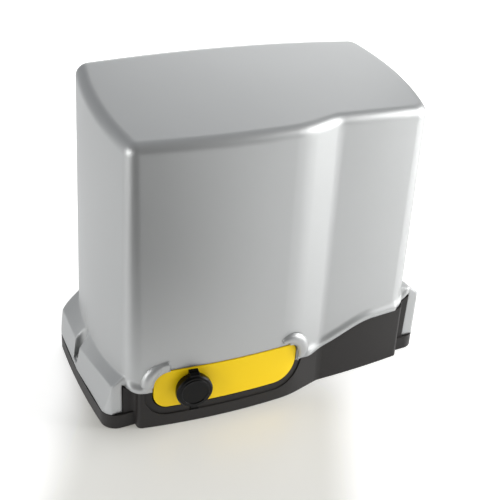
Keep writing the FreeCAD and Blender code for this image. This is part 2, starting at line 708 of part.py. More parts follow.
def release_rod():
    """Push rod with its follower pin, and the fork that holds the clutch ring's groove."""
    start = hinge_y + cam_start - follower_r - 1.5
    push = rod(rod_r, fork_y + 2 - start, (hinge_x, start, rod_z), (0, 1, 0))
    follower = rod(follower_r, cam_z + cam_t + 1.5 - rod_z, (hinge_x, hinge_y + cam_start, rod_z))
    fork = box(hinge_x - 6, hinge_x + 6, fork_y - fork_t / 2, fork_y + fork_t / 2, rod_z - 4,
               shaft_z)
    tines = box(-ring_r - 3, ring_r + 3, fork_y - fork_t / 2, fork_y + fork_t / 2,
                shaft_z - ring_r - 4, shaft_z)
    fork = joined(fork, tines).cut(rod(groove_r + 0.4, 40, (0, fork_y - 20, shaft_z), (0, 1, 0)))
    return joined(push, follower, fork)


save("release_housing", release_housing())
save("release_lever", release_lever())
save("hinge_pin", rod(pin_r, 59.9 - floor_t - 8.4, (hinge_x, hinge_y, floor_t + 8.4)))
save("lock_barrel", in_lock(tube(barrel_r, plug_r + run_gap, 18.0, (0, -0.2, 0), (0, 1, 0))))
save("lock_plug", in_lock(lock_plug()))
save("cap_collar", in_lock(cap_collar()))
save("dust_cap", in_lock(dust_cap()))
save("release_cam", release_cam())
save("release_rod", release_rod())


# ---- Gear train ----
def involute(angle):
    return math.tan(angle) - angle


def gear(module, teeth, thin, face, twist=0.0):
    """Spur or slightly helical gear along Z from z = 0: involute flanks, play taken off each."""
    pitch_r = module * teeth / 2
    base_r0 = pitch_r * math.cos(math.radians(20))
    root, tip = pitch_r - 1.25 * module, pitch_r + module
    start = max(root, base_r0) + 0.02

    def half_angle(radius):
        pressure = math.acos(min(base_r0 / radius, 1.0))
        return math.pi / (2 * teeth) + involute(math.radians(20)) - involute(pressure) \
            - thin / pitch_r

    def outline(turn, z):
        def at(radius, angle):
            return V(radius * math.cos(angle + turn), radius * math.sin(angle + turn), z)
        edges = []
        step = 2 * math.pi / teeth
        radii = [start + (tip - start) * i / 2 for i in range(3)]
        for tooth in range(teeth):
            mid = tooth * step
            foot = half_angle(start)
            up = [at(r, mid - half_angle(r)) for r in radii]
            down = [at(r, mid + half_angle(r)) for r in reversed(radii)]
            edges.append(Part.LineSegment(at(root, mid - foot), up[0]).toShape())
            edges.append(Part.Arc(*up).toShape())
            edges.append(Part.LineSegment(up[-1], down[0]).toShape())
            edges.append(Part.Arc(*down).toShape())
            edges.append(Part.LineSegment(down[-1], at(root, mid + foot)).toShape())
            edges.append(Part.LineSegment(at(root, mid + foot), at(root, mid + step - foot)).toShape())
        return Part.Wire(edges)
    if not twist:
        return Part.Face(outline(0, 0)).extrude(V(0, 0, face))
    return Part.makeLoft([outline(-twist / 2, 0), outline(twist / 2, face)], True, True)


def onto_shaft(solid, y, turn=0.0):
    """Lay a solid made along Z onto the output shaft, its z = 0 end at y."""
    solid.rotate(V(0, 0, 0), V(0, 0, 1), turn)
    solid.rotate(V(0, 0, 0), V(1, 0, 0), -90)
    solid.translate(V(0, y, shaft_z))
    return solid


def along_y(radius, y0, y1, x=0.0, z=None):
    return rod(radius, y1 - y0, (x, y0, shaft_z if z is None else z), (0, 1, 0))


def ring_y(outer, inner, y0, y1):
    return along_y(outer, y0, y1).cut(along_y(inner, y0 - 1, y1 + 1))


wheel_y0 = wheel_y - wheel_face / 2
wheel_y1 = wheel_y + wheel_face / 2
ring_y0 = wheel_y1 + 0.3
dog_in, dog_out = shaft_r + 3.5, ring_r - 1.0


def dogs(grow, y0, y1):
    """Three claws between wheel and clutch ring, or the pockets they enter."""
    ring = ring_y(dog_out + grow, dog_in - grow, y0, y1)
    claws = [ring.common(wedge(120 * i, 44 + 4 * grow, y0, y1)) for i in range(3)]
    return claws[0].fuse(claws[1:])


def wedge(middle, span, y0, y1):
    """A pie slice about the output shaft, seen along Y."""
    reach = 3 * ring_r
    points = [V(0, y0, shaft_z)]
    for angle in (middle - span / 2, middle + span / 2):
        points.append(V(reach * math.cos(math.radians(angle)), y0,
                        shaft_z + reach * math.sin(math.radians(angle))))
    return Part.Face(Part.makePolygon(points + points[:1])).extrude(V(0, y1 - y0, 0))


def key_bar(grow, y0, y1):
    """Feather key on top of the shaft, or its slot."""
    return box(-key_w / 2 - grow, key_w / 2 + grow, y0, y1, shaft_z + shaft_r - 3.5,
               shaft_z + shaft_r + 2.5 + grow)


def output_shaft():
    body = along_y(shaft_r, case_front + case_wall + 0.2, pinion_y + pinion_face - 0.5)
    collar = along_y(shaft_r + 3, wheel_y0 - 1.6, wheel_y0 - 0.2)
    body = joined(body, collar)
    for y0, y1 in (ring_key, pinion_key):
        body = body.cut(key_bar(seat_gap, y0, y1))
    return body.cut(along_y(4.0, pinion_y + pinion_face - 22, pinion_y + pinion_face + 1))


def worm_wheel():
    lead = math.atan(wheel_module / (2 * worm_pitch_r))
    twist = wheel_face * math.tan(lead) / (wheel_module * wheel_teeth / 2)
    wheel = onto_shaft(gear(wheel_module, wheel_teeth, tooth_play, wheel_face, twist), wheel_y0)
    wheel = wheel.cut(along_y(shaft_r + seat_gap, wheel_y0 - 1, wheel_y1 + 1))
    return wheel.cut(dogs(0.35, wheel_y1 - dog_depth - 0.6, wheel_y1 + 1))


def clutch_ring():
    ring = ring_y(ring_r, shaft_r + run_gap, ring_y0, ring_y0 + ring_t)
    ring = ring.cut(ring_y(ring_r + 5, groove_r, fork_y - fork_t / 2 - 0.2, fork_y + fork_t / 2 + 0.2))
    ring = joined(ring, dogs(0, wheel_y1 - dog_depth, ring_y0 + 1))
    return ring.cut(key_bar(0.15, ring_y0 - 10, ring_y0 + ring_t + 10))


def drive_pinion():
    pinion = onto_shaft(gear(pinion_module, pinion_teeth, 0.1, pinion_face), pinion_y, 90)
    pinion = joined(pinion, along_y(shaft_r + 9, pinion_y - 3.5, pinion_y))
    pinion = pinion.cut(along_y(shaft_r + seat_gap, pinion_y - 10, pinion_y + pinion_face + 1))
    return pinion.cut(key_bar(0.1, pinion_y - 10, pinion_y + pinion_face + 1))


def worm_shaft():
    """Vertical shaft with its thread: one start, straight flanks."""
    root = worm_pitch_r - 1.2 * wheel_module
    tip = worm_pitch_r + wheel_module
    pitch = math.pi * wheel_module
    low = shaft_z - worm_length / 2
    half_pitch = pitch / 4 - 0.12
    lean = math.tan(math.radians(20))
    sunk = root - 0.4
    foot, crest = half_pitch + (worm_pitch_r - sunk) * lean, half_pitch - wheel_module * lean
    helix = Part.makeHelix(pitch, worm_length, sunk)
    points = [V(sunk, 0, -foot), V(tip, 0, -crest), V(tip, 0, crest), V(sunk, 0, foot)]
    thread = Part.Wire(helix).makePipeShell([Part.makePolygon(points + points[:1])], True, True)
    thread.rotate(V(0, 0, 0), V(0, 0, 1), thread_turn)
    thread.translate(V(worm_x, wheel_y, low))
    ends = box(worm_x - 20, worm_x + 20, wheel_y - 20, wheel_y + 20, low, low + worm_length)
    core = joined(rod(root, worm_length + 6, (worm_x, wheel_y, low - 3)),
                  rod(worm_shaft_r, rotor_top - worm_low, (worm_x, wheel_y, worm_low)))
    return core.fuse(thread.common(ends)).removeSplitter()


def gearbox_housing():
    drum = along_y(drum_r, case_front, case_joint)
    tower = rod(worm_bearing_r + 8, flange_z - floor_t - 40, (worm_x, wheel_y, floor_t + 40))
    top = rod(can_r, 8, (worm_x, wheel_y, flange_z - 8))
    foot = box(-46, 76, case_front + 2, case_joint, floor_t, 58)
    ribs = [box(worm_x - 2, worm_x + 2, wheel_y - 34, wheel_y + 26, 58, flange_z - 4),
            box(worm_x, worm_x + 42, wheel_y - 2, wheel_y + 2, 100, flange_z - 4)]
    body = joined(drum, tower, top, foot, *ribs)
    hollow_y = wheel_y0 - 1.2
    cuts = [along_y(wheel_module * wheel_teeth / 2 + 5, hollow_y, case_joint + 1),
            along_y(bearing_r + seat_gap, case_front + case_wall, hollow_y + 1),
            rod(worm_pitch_r + 5.0, worm_length + 16, (worm_x, wheel_y, shaft_z - worm_length / 2 - 8)),
            rod(worm_bearing_r + seat_gap, worm_bearing_t + 2, (worm_x, wheel_y, worm_seat_low - 1)),
            rod(worm_bearing_r + seat_gap, 60, (worm_x, wheel_y, worm_seat_high)),
            rod(worm_shaft_r + 1, worm_seat_high - worm_seat_low, (worm_x, wheel_y, worm_seat_low)),
            box(hinge_x - 7.5, hinge_x + 7.5, wheel_y1 + 1.5, case_joint + 1, rod_z - 6, shaft_z - 30),
            along_y(rod_r + 0.3, case_front - 5, case_joint, hinge_x, rod_z)]
    cuts += [box(-40, -26, case_front, case_joint + 1, -1, 40),
             box(20, 70, case_front, case_joint + 1, -1, 36)]
    for cut in cuts:
        body = body.cut(cut)
    return max(body.Solids, key=lambda solid: solid.Volume)


def gearbox_cover():
    """Joint plate, bearing nose and the arched rear face that fills the cover's cut-out."""
    y_plate = case_joint + 0.5
    plate = along_y(drum_r, y_plate, y_plate + plate_t)
    link = along_y(nose_half - 3, y_plate + plate_t - 1, nose_back).cut(
        along_y(nose_half - 7, y_plate + plate_t, nose_back - 5))
    face = nose_outline(0, nose_start, nose_back, nose_low).cut(
        nose_outline(-4, nose_start - 1, nose_back - 5, nose_low + 4))
    nose = along_y(bearing_r + 6, y_plate, nose_back - 1)
    body = joined(plate, link, face, nose)
    cuts = [along_y(bearing_r + seat_gap, y_plate - 1, rear_bearing_y + bearing_t),
            along_y(bearing_r - 4 + seat_gap, y_plate + 10, nose_back - 3),
            along_y(shaft_r + 4, y_plate, nose_back + 5),
            box(-11.5, 11.5, nose_back - 12, nose_back + 5, wand_z - 4.5, wand_z + 4.5),
            box(-22, 22, nose_start - 30, nose_back - 5, wand_z - 14, wand_z + 10)]
    for cut in cuts:
        body = body.cut(cut)
    return max(body.Solids, key=lambda solid: solid.Volume)


def bearing(inner, outer, thick, base, axis):
    """A sealed ball bearing as one ring, a running fit on its shaft."""
    return tube(outer - seat_gap, inner + run_gap, thick, base, axis)


save("output_shaft", output_shaft())
save("worm_wheel", worm_wheel())
save("clutch_ring", clutch_ring())
save("shaft_keys", *[key_bar(0, y0 + 0.1, y1 - 0.1).common(
    box(-9, 9, y0, y1, shaft_z, shaft_z + shaft_r + 2.4)) for y0, y1 in (ring_key, pinion_key)])
save("drive_pinion", drive_pinion())
pinion_end = pinion_y + pinion_face
save("pinion_screw", joined(ring_y(shaft_r + 4, 3.5, pinion_end + 0.1, pinion_end + 3.0),
                            hexagon(13.0, 5.5, (0, pinion_end + 3.0, shaft_z), (0, 1, 0)),
                            along_y(4.0 - seat_gap, pinion_end - 20, pinion_end + 4)))
save("worm_shaft", worm_shaft())
save("gearbox_housing", gearbox_housing())
save("gearbox_gasket", ring_y(drum_r - 0.5, drum_r - 7, case_joint, case_joint + 0.5))
save("gearbox_cover", gearbox_cover())
save("front_bearing", bearing(shaft_r, bearing_r, bearing_t, (0, front_bearing_y, shaft_z),
                              (0, 1, 0)))
save("rear_bearing", bearing(shaft_r, bearing_r, bearing_t, (0, rear_bearing_y, shaft_z), (0, 1, 0)))
save("shaft_seal", ring_y(bearing_r - 4, shaft_r + run_gap, nose_back - 11, nose_back - 4))
for name, seat in (("lower_worm_bearing", worm_seat_low), ("upper_worm_bearing", worm_seat_high)):
    save(name, bearing(worm_shaft_r, worm_bearing_r, worm_bearing_t, (worm_x, wheel_y, seat),
                       (0, 0, 1)))


# ---- Motor ----
def at_motor(outer, inner, z0, z1):
    return tube(outer, inner, z1 - z0, (worm_x, wheel_y, z0))


can_z0 = flange_z + flange_t
can_z1 = can_z0 + can_h
stack_z0 = can_z0 + (can_h - stack_h) / 2
stack_z1 = stack_z0 + stack_h
flange = joined(at_motor(can_r, worm_shaft_r + 2, flange_z, can_z0),
                at_motor(worm_bearing_r - 0.2, worm_shaft_r + 2, worm_seat_high + worm_bearing_t + 0.2,
                         flange_z + 1))
save("motor_flange", flange)
save("motor_can", at_motor(can_r, can_r - can_t, can_z0, can_z1))
save("stator_core", at_motor(can_r - can_t - seat_gap, stator_bore, stack_z0, stack_z1))
save("stator_windings", at_motor(can_r - 7, stator_bore + 2, can_z0 + 1.5, stack_z0),
     at_motor(can_r - 7, stator_bore + 2, stack_z1, can_z1 - 1.5))
save("rotor_core", at_motor(stator_bore - rotor_play, worm_shaft_r + seat_gap, stack_z0, stack_z1))
end_cap = joined(at_motor(can_r, top_shaft_r + 2, can_z1, can_z1 + 8),
                 at_motor(top_bearing_r + 4, top_bearing_r + seat_gap, can_z1 - 5, can_z1 + 1))
end_cap = end_cap.cut(at_motor(top_bearing_r + seat_gap, 0.5, can_z1 - 6, can_z1 + 4))
fins = [box(worm_x - 1.2, worm_x + 1.2, wheel_y + can_r * 0.45, wheel_y + can_r - 3, can_z1 + 7.5,
            can_z1 + 10) for _ in range(12)]
for i, fin in enumerate(fins):
    fin.rotate(V(worm_x, wheel_y, 0), V(0, 0, 1), 30 * i + 15)
save("motor_end_cap", joined(end_cap, *fins))
save("top_bearing", bearing(worm_shaft_r, top_bearing_r, 8.0, (worm_x, wheel_y, can_z1 - 4.2),
                            (0, 0, 1)))


# ---- Limit switch ----
def limit_wand():
    """Spring feeler that the rack's stops push aside, with its moulded root."""
    root = rod(5.0, 11.0, (0, wand_y, wand_z - 5.5))
    stem = along_y(2.6, wand_y, wand_y + 14, 0, wand_z)
    feeler = along_y(1.8, wand_y + 13, wand_y + wand_reach, 0, wand_z)
    bead = along_y(3.2, wand_y + wand_reach - 3, wand_y + wand_reach + 3, 0, wand_z)
    return joined(root, stem, feeler, bead).cut(rod(1.5 + run_gap, 20, (0, wand_y, wand_z - 10)))


switch = joined(box(-18, 12, nose_start - 14, wand_y - 6, wand_z - 12, wand_z + 8),
                box(-6, 6, wand_y - 8, wand_y + 3, wand_z - 9.5, wand_z - 6.5),
                box(-6, 6, wand_y - 8, wand_y + 3, wand_z + 6.5, wand_z + 8),
                rod(1.5, 16.0, (0, wand_y, wand_z - 9)))
save("limit_switch_box", switch)
save("limit_wand", limit_wand())


# ---- Electrics ----
carrier = joined(box(board_x0 - 6, board_x1 + 6, board_y + 3, board_y + 6, board_z0 - 6, board_z1 + 6),
                 box(board_x0 + 18, board_x0 + 28, board_y + 3, board_y + 12, floor_t, board_z0),
                 box(board_x1 - 24, board_x1 - 14, board_y + 3, board_y + 12, floor_t, board_z0),
                 *[rod(3.5, 3.2, (x, board_y, z), (0, 1, 0))
                   for x in (board_x0 + 5, board_x1 - 5) for z in (board_z0 + 5, board_z1 - 5)])
save("board_carrier", carrier)
save("control_board", box(board_x0, board_x1, board_y - 1.6, board_y, board_z0, board_z1))
front = board_y - 1.6
save("relays", *[box(x, x + 15, front - 16, front, board_z1 - 44, board_z1 - 14)
                 for x in (board_x0 + 8, board_x0 + 27, board_x0 + 46)])
save("terminal_blocks", *[box(x, x + 25, front - 9, front, board_z0 + 3, board_z0 + 15)
                          for x in (board_x0 + 12, board_x0 + 39, board_x0 + 66)])
save("transformer", joined(box(-104, -52, 24, 50, floor_t, 50),
                           box(-96, -60, 17, 57, floor_t + 8, 42)))
save("motor_capacitor", rod(17.0, 62.0, (cap_x, cap_y, floor_t + 2)))
save("capacitor_clip", joined(tube(19.0, 17.0 + seat_gap, 14.0, (cap_x, cap_y, floor_t)),
                              box(cap_x - 10, cap_x + 10, cap_y + 18, cap_y + 30, floor_t,
                                  floor_t + 3)))
fuse_z = board_z0 + 34.5
save("fuse_holder", joined(box(board_x1 - 44, board_x1 - 14, front - 3, front, fuse_z - 4.5,
                               fuse_z + 4.5),
                           rod(3.2, 26.0, (board_x1 - 42, front - 5.5, fuse_z), (1, 0, 0))))
switch_y = recess_back + box_wall + 0.3
save("release_switch", joined(box(0, 19, switch_y, switch_y + 8, 24, 42),
                              box(4, 6, switch_y + 7, switch_y + 12, 27, 39),
                              box(12, 14, switch_y + 7, switch_y + 12, 27, 39)))
save("earth_stud", joined(rod(3.0, 16.0, (earth_x, earth_y, floor_t)),
                          hexagon(10.0, 5.0, (earth_x, earth_y, floor_t + 3)),
                          rod(6.5, 1.4, (earth_x, earth_y, floor_t + 1.6))))
save("oil_plug", joined(rod(7.5, 1.6, (-drum_r - 1.6, wheel_y, shaft_z), (1, 0, 0)),
                        hexagon(12.0, 5.0, (-drum_r - 6.4, wheel_y, shaft_z), (1, 0, 0))))
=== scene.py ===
import math

import bpy
import numpy as np
from mathutils import Matrix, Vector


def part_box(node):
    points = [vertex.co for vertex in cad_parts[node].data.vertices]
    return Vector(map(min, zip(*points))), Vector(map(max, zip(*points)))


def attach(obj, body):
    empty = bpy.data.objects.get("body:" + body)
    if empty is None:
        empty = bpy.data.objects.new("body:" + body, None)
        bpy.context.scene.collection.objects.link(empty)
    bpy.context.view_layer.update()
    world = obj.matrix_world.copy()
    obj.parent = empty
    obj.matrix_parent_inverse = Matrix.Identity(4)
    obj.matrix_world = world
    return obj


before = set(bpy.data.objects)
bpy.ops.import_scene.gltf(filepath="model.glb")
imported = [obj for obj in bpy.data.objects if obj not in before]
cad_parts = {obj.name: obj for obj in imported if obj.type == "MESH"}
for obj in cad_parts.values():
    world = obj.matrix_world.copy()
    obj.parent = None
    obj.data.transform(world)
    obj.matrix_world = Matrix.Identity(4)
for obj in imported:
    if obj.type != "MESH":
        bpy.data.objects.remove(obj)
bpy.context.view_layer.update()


# ---- Studio ----
# A white floor and surround, with a large soft box on the right, a weaker one on the left and a
# third behind, so that the painted cover shows broad reflections. The camera stands left of
# the front and looks down on the operator.
turn, tilt, roll = math.radians(-29.156), math.radians(29.288), math.radians(3.909)
aim = np.array([0.002033, -0.004161, 0.105392])
distance = 0.741267
focal_length, sensor_width, clip_start = 58.515, 36.0, 0.01


def unit(v):
    """The direction of a vector, with length 1."""
    v = np.array(v, float)
    return v / np.linalg.norm(v)


def stand(o, axes, position):
    """Put an object in the scene, with the directions of its three axes and its place in m."""
    bpy.context.scene.collection.objects.link(o)
    place = np.eye(4)
    place[:3] = np.stack([*axes, position], 1)
    o.matrix_world = Matrix(place.tolist())


back = np.array([math.sin(turn) * math.cos(tilt), -math.cos(turn) * math.cos(tilt),
                 math.sin(tilt)])
level = unit(np.cross(-back, [0, 0, 1]))
upward = np.cross(level, -back)
right = level * math.cos(roll) + upward * math.sin(roll)
above = upward * math.cos(roll) - level * math.sin(roll)
camera = bpy.data.objects.new("camera", bpy.data.cameras.new("camera"))
camera.data.lens, camera.data.sensor_width = focal_length, sensor_width
camera.data.clip_start = clip_start
stand(camera, (right, above, back), aim + back * distance)
bpy.context.scene.camera = camera
bpy.context.scene.view_settings.view_transform = "Standard"


def maths(operation, swapped=False):
    """The method of one operator, which adds a Math node; swapped for its reflected form."""
    def result(self, other):
        pair = [other, self] if swapped else [self, other]
        return self.nodes.add("Math", {"operation": operation}, pair)
    return result


class Value:
    """A shader socket: an expression on values adds its Math nodes."""

    def __init__(self, nodes, socket):
        self.nodes, self.socket = nodes, socket

    __add__, __radd__ = maths("ADD"), maths("ADD", swapped=True)
    __sub__, __rsub__ = maths("SUBTRACT"), maths("SUBTRACT", swapped=True)
    __mul__, __rmul__ = maths("MULTIPLY"), maths("MULTIPLY", swapped=True)


class Nodes:
    """The nodes of a material or of the surround."""

    def __init__(self, tree):
        self.tree = tree

    def feed(self, node, inputs):
        """Set or link a node's sockets from a list or a dictionary of values."""
        pairs = inputs.items() if isinstance(inputs, dict) else enumerate(inputs)
        for key, value in pairs:
            if isinstance(value, Value):
                self.tree.links.new(value.socket, node.inputs[key])
            elif isinstance(value, (tuple, list)) and node.inputs[key].type == "RGBA":
                node.inputs[key].default_value = (*value, 1.0)
            else:
                node.inputs[key].default_value = value

    def add(self, kind, settings=None, inputs=(), output=0):
        """One node of any kind: its settings first, then its sockets; gives an output."""
        node = self.tree.nodes.new("ShaderNode" + kind)
        for key, value in (settings or {}).items():
            setattr(node, key, value)
        self.feed(node, inputs)
        return Value(self, node.outputs[output])

    def place(self, axis=None):
        """Place in the object's own metres, or one axis of it."""
        point = self.add("TexCoord", output="Object")
        return point if axis is None else self.add("SeparateXYZ", {}, [point], axis)

    def noise(self, scale):
        """Soft noise from 0 to 1, with about as many waves to the metre as the scale says."""
        inputs = {"Vector": self.place(), "Scale": scale, "Detail": 2.0}
        return self.add("TexNoise", {}, inputs, "Fac")

    def ramp(self, value, low, high):
        """0 below one value, 1 above the other, soft between."""
        return self.add("MapRange", {"interpolation_type": "SMOOTHSTEP"}, [value, low, high])

    def between(self, share, low, high):
        """A colour between two others, by a share from 0 to 1. A Mix node has its share at
        socket 0, its two colours at 6 and 7, and its mixed colour at output 2."""
        node = self.tree.nodes.new("ShaderNodeMix")
        node.data_type = "RGBA"
        self.feed(node, {0: share, 6: low, 7: high})
        return Value(self, node.outputs[2])


class Finish(Nodes):
    """One surface finish: a Principled shader, and the nodes that vary it over the surface."""

    def __init__(self, name, color, roughness, metallic=0.0, edge=0.0, grain=None, **fixed):
        """Edges are rounded by edge in m, and grain is a noise scale and a depth in m."""
        self.material = bpy.data.materials.new(name)
        self.material.use_nodes = True
        super().__init__(self.material.node_tree)
        self.tree.nodes.clear()
        self.shader = self.tree.nodes.new("ShaderNodeBsdfPrincipled")
        output = self.tree.nodes.new("ShaderNodeOutputMaterial")
        self.tree.links.new(self.shader.outputs[0], output.inputs[0])
        self.set(Base_Color=color, Roughness=roughness, Metallic=metallic, **fixed)
        if edge:
            normal = self.add("Bevel", {"samples": 6}, {"Radius": edge})
            if grain:
                scale, depth = grain
                normal = self.add("Bump", {}, {"Height": self.noise(scale), "Strength": 1.0,
                                               "Distance": depth, "Normal": normal})
            self.set(Normal=normal)

    def set(self, **inputs):
        """Set or link the shader's own sockets, named with _ for a space."""
        self.feed(self.shader, {key.replace("_", " "): value for key, value in inputs.items()})

    def onto(self, *pieces):
        """Put this finish on CAD nodes, by name, and on pieces made here."""
        for piece in pieces:
            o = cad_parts[piece] if isinstance(piece, str) else piece
            o.data.materials.clear()
            o.data.materials.append(self.material)


def mesh_piece(name, points, faces, smooth=True):
    """An object from a list of points in m and a list of four-sided faces."""
    mesh = bpy.data.meshes.new(name)
    mesh.from_pydata(np.asarray(points, float).tolist(), [], np.asarray(faces, int).tolist())
    mesh.update()
    mesh.polygons.foreach_set("use_smooth", np.full(len(mesh.polygons), smooth))
    o = bpy.data.objects.new(name, mesh)
    bpy.context.scene.collection.objects.link(o)
    return o


def gray(lightness):
    """A colour without a hue."""
    return (lightness, lightness, lightness)


floor_half, floor_drop = 6.0, 0.0004    # m
floor_corners = np.array([(-1, -1, 0), (1, -1, 0), (1, 1, 0), (-1, 1, 0)])
floor = mesh_piece("floor", floor_corners * floor_half, [(0, 1, 2, 3)])
floor.location.z = -floor_drop

# The camera meets a pale floor, with a dim lane painted before the operator: a painted reflection
# of the base. Every other ray meets a floor painted dark far in front of the operator, which the
# cover's front mirrors as a painted dark reflection, and pale elsewhere, where it glows as painted
# bounce light.
seen_color = (0.70, 0.695, 0.67)
ground = Finish("floor", seen_color, 0.28)
turn_cos, turn_sin = 0.873, 0.487
lane_shift, lane_half, lane_edge, lane_start = 0.02, 0.09, 0.145, 0.09    # m
front_start, front_end, right_start, right_end = 0.18, 0.42, 0.12, 0.35    # m
seen = ground.add("LightPath", output="Is Camera Ray")
aside = ground.place(0) * turn_cos - ground.place(1) * turn_sin
nearer = ground.place(0) * -turn_sin - ground.place(1) * turn_cos
off_lane = ground.ramp(ground.add("Math", {"operation": "ABSOLUTE"}, [aside + lane_shift]),
                       lane_half, lane_edge)
# The share of the dim lane: a painted reflection of the base, not a mark on the floor.
painted_reflection_lane = (1.0 - off_lane) * ground.ramp(nearer, 0.0, lane_start)
# Where the floor glows for other rays as painted bounce light; elsewhere it is a painted dark
# patch.
pale = ground.add("Math", {"operation": "MAXIMUM"},
                  [1.0 - ground.ramp(nearer, front_start, front_end),
                   ground.ramp(aside, right_start, right_end)])
seen_glow = ground.between(painted_reflection_lane, gray(0.60), (0.17, 0.165, 0.145))
unseen_glow = ground.between(pale, gray(0.0), gray(0.42))
unseen_color = ground.between(pale, gray(0.08), gray(0.85))
ground.set(Base_Color=ground.between(seen, unseen_color, seen_color),
           Emission_Color=ground.between(seen, unseen_glow, seen_glow), Emission_Strength=1.0)
ground.onto(floor)

# The surround is white to the camera. It lights and mirrors as a dim room, darker in front and
# lighter behind and at the right.
world = bpy.data.worlds.new("surround")
bpy.context.scene.world = world
world.use_nodes = True
sky = Nodes(world.node_tree)
direction = sky.add("TexCoord", output="Generated")
behind = sky.ramp(sky.add("SeparateXYZ", {}, [direction], 1), -0.75, 0.55)
rightward = sky.ramp(sky.add("SeparateXYZ", {}, [direction], 0), -0.3, 0.9)
room = sky.between(behind, gray(0.10), (0.44, 0.45, 0.47))
room = sky.between(rightward * 0.5, room, (0.62, 0.63, 0.65))
shown = sky.add("LightPath", output="Is Camera Ray")
sky.feed(world.node_tree.nodes["Background"], [sky.between(shown, room, gray(1.0)), 1.0])


def lamp(name, position, size, power):
    """A square soft lamp, size in m and power in W, that faces the middle of the operator."""
    data = bpy.data.lights.new(name, "AREA")
    data.shape, data.size, data.energy = "SQUARE", size, power
    axis = unit(np.array(position) - np.array([0, 0, 0.1]))
    side = unit(np.cross([0.0, 0.01, 1.0], axis))
    stand(bpy.data.objects.new(name, data), (side, np.cross(axis, side), axis), position)


lamp("right", (1.57, -0.56, 0.72), 1.2, 37)
lamp("left", (-1.5, -0.25, 0.45), 0.9, 12)
lamp("behind", (0.9, 1.6, 0.8), 1.4, 11)


# ---- Cover ----
# The moulded cover: ABS sprayed with a fine silver-grey metallic paint, satin. Its rim flares
# into a soft lip, and a raised crescent stands round each upper corner of the lever.
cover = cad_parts["cover_shell"]
satin, mottle = 0.44, 0.06
cover_paint = Finish("cover_paint", (0.445, 0.452, 0.448), satin, 0.70, edge=0.0030)
cover_paint.set(Roughness=satin - mottle / 2 + mottle * cover_paint.noise(9))
rim_low, rim_rise, rim_s = 35.7, 19.6, (22.0, 94.0)
rim_end, rim_end_x, skirt_gap_x = (7.0, 10.0), (129.0, 124.0), 144.2
lever_left, lever_right, lever_high = -120.5, 9.0, 54.7
draft, bulge_x, bulge_reach, bulge_radius = 0.03, -20.0, 89.3, 551.0
lip_swell, lip_middle, lip_width, lip_sunk, lip_least = 1.9, 4.0, 3.4, 0.05, 0.04
lip_steps = np.array([0.2, 0.2, 0.6, 1.4, 2.4, 3.6, 5, 6.5, 8, 9.5, 11, 12.5])
lip_edge = [-2.0, 0.2, 1.0]
ray_start_y, ray_margin = -200.0, 0.8
crescent_rows, crescent_columns, crescent_sunk = 40, 15, 0.3


def rim_z(x):
    """Height of the cover's front rim in mm: rim_low + rim_rise * s^2 (3 - 2 s), s the share of
    the S, and rim_end * p^2 past the last straight, p the share of the curl."""
    share = np.clip((x - rim_s[0]) / (rim_s[1] - rim_s[0]), 0, 1)
    side = (x > 0).astype(int)
    start = np.array(rim_end_x)[side]
    past = np.clip(np.abs(x) - start, 0, None) / (skirt_gap_x - start)
    return rim_low + rim_rise * share ** 2 * (3 - 2 * share) + np.array(rim_end)[side] * past ** 2


def front_y(x, z):
    """Front face in mm left of its slope: the arc of radius R about the crest, leaning back,
    y = -reach + R - sqrt(R^2 - (x - crest)^2) + draft z."""
    return -bulge_reach + bulge_radius - np.sqrt(bulge_radius ** 2 - (x - bulge_x) ** 2) + draft * z


def cover_sheet(name, points):
    """A piece on the cover from a grid of points in mm, rows by columns."""
    rows, columns = points.shape[:2]
    index = np.arange(rows * columns).reshape(rows, columns)
    faces = np.stack([index[:-1, :-1], index[1:, :-1], index[1:, 1:], index[:-1, 1:]], -1)
    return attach(mesh_piece(name, points.reshape(-1, 3) / 1000, faces.reshape(-1, 4)), "cover")


def lip(name, x0, x1, count, taper):
    """The rim's lip from x0 to x1: the cover's own face, met by rays along +Y, swells out by
    lip_swell exp(-((s - lip_middle) / lip_width)^2) - lip_sunk at s above the rim. The first
    rows are the rolled edge, and at each end the swell shrinks by a sine over its taper."""
    x = np.linspace(x0, x1, count)
    out = lip_swell * np.exp(-((lip_steps - lip_middle) / lip_width) ** 2) - lip_sunk
    out[:len(lip_edge)] = lip_edge
    rim = rim_z(x)
    z = rim[:, None] + lip_steps
    y = np.zeros(z.shape)
    for i, j in np.ndindex(z.shape):
        high = max(z[i, j], rim[i] + ray_margin)
        hit, spot, *_ = cover.ray_cast((x[i] / 1000, ray_start_y / 1000, high / 1000), (0, 1, 0))
        y[i, j] = spot.y * 1000 if hit else y[max(i - 1, 0), j]
    slope = np.gradient(y, x, axis=0)
    size = np.sqrt(1 + slope ** 2)
    ends = np.clip(np.minimum((x - x0) / taper[0], (x1 - x) / taper[1]), lip_least, 1)
    out = np.where(out > 0, out * np.sin(ends * np.pi / 2)[:, None], out)
    return cover_sheet(name, np.stack([x[:, None] + out * slope / size, y - out / size, z], -1))


def crescent(name, middle_x, middle_z, radius, start, end, half, height):
    """A raised crescent on the front face, from one angle in degrees to another: its section is
    half an ellipse, half wide and high as given at the middle, and both shrink by sin^0.4 to
    its ends."""
    angle = np.radians(np.linspace(start, end, crescent_rows))[:, None]
    across = np.cos(np.linspace(0, np.pi, crescent_columns))
    along = np.linspace(0.02, 1, crescent_rows) * np.pi * 0.98 + 0.02
    size = np.sin(along)[:, None] ** 0.4
    reach = radius + half * size * across
    x, z = middle_x + reach * np.cos(angle), middle_z + reach * np.sin(angle)
    y = front_y(x, z) + crescent_sunk - height * size * np.sqrt(1 - across ** 2)
    return cover_sheet(name, np.stack([x, y, z], -1))


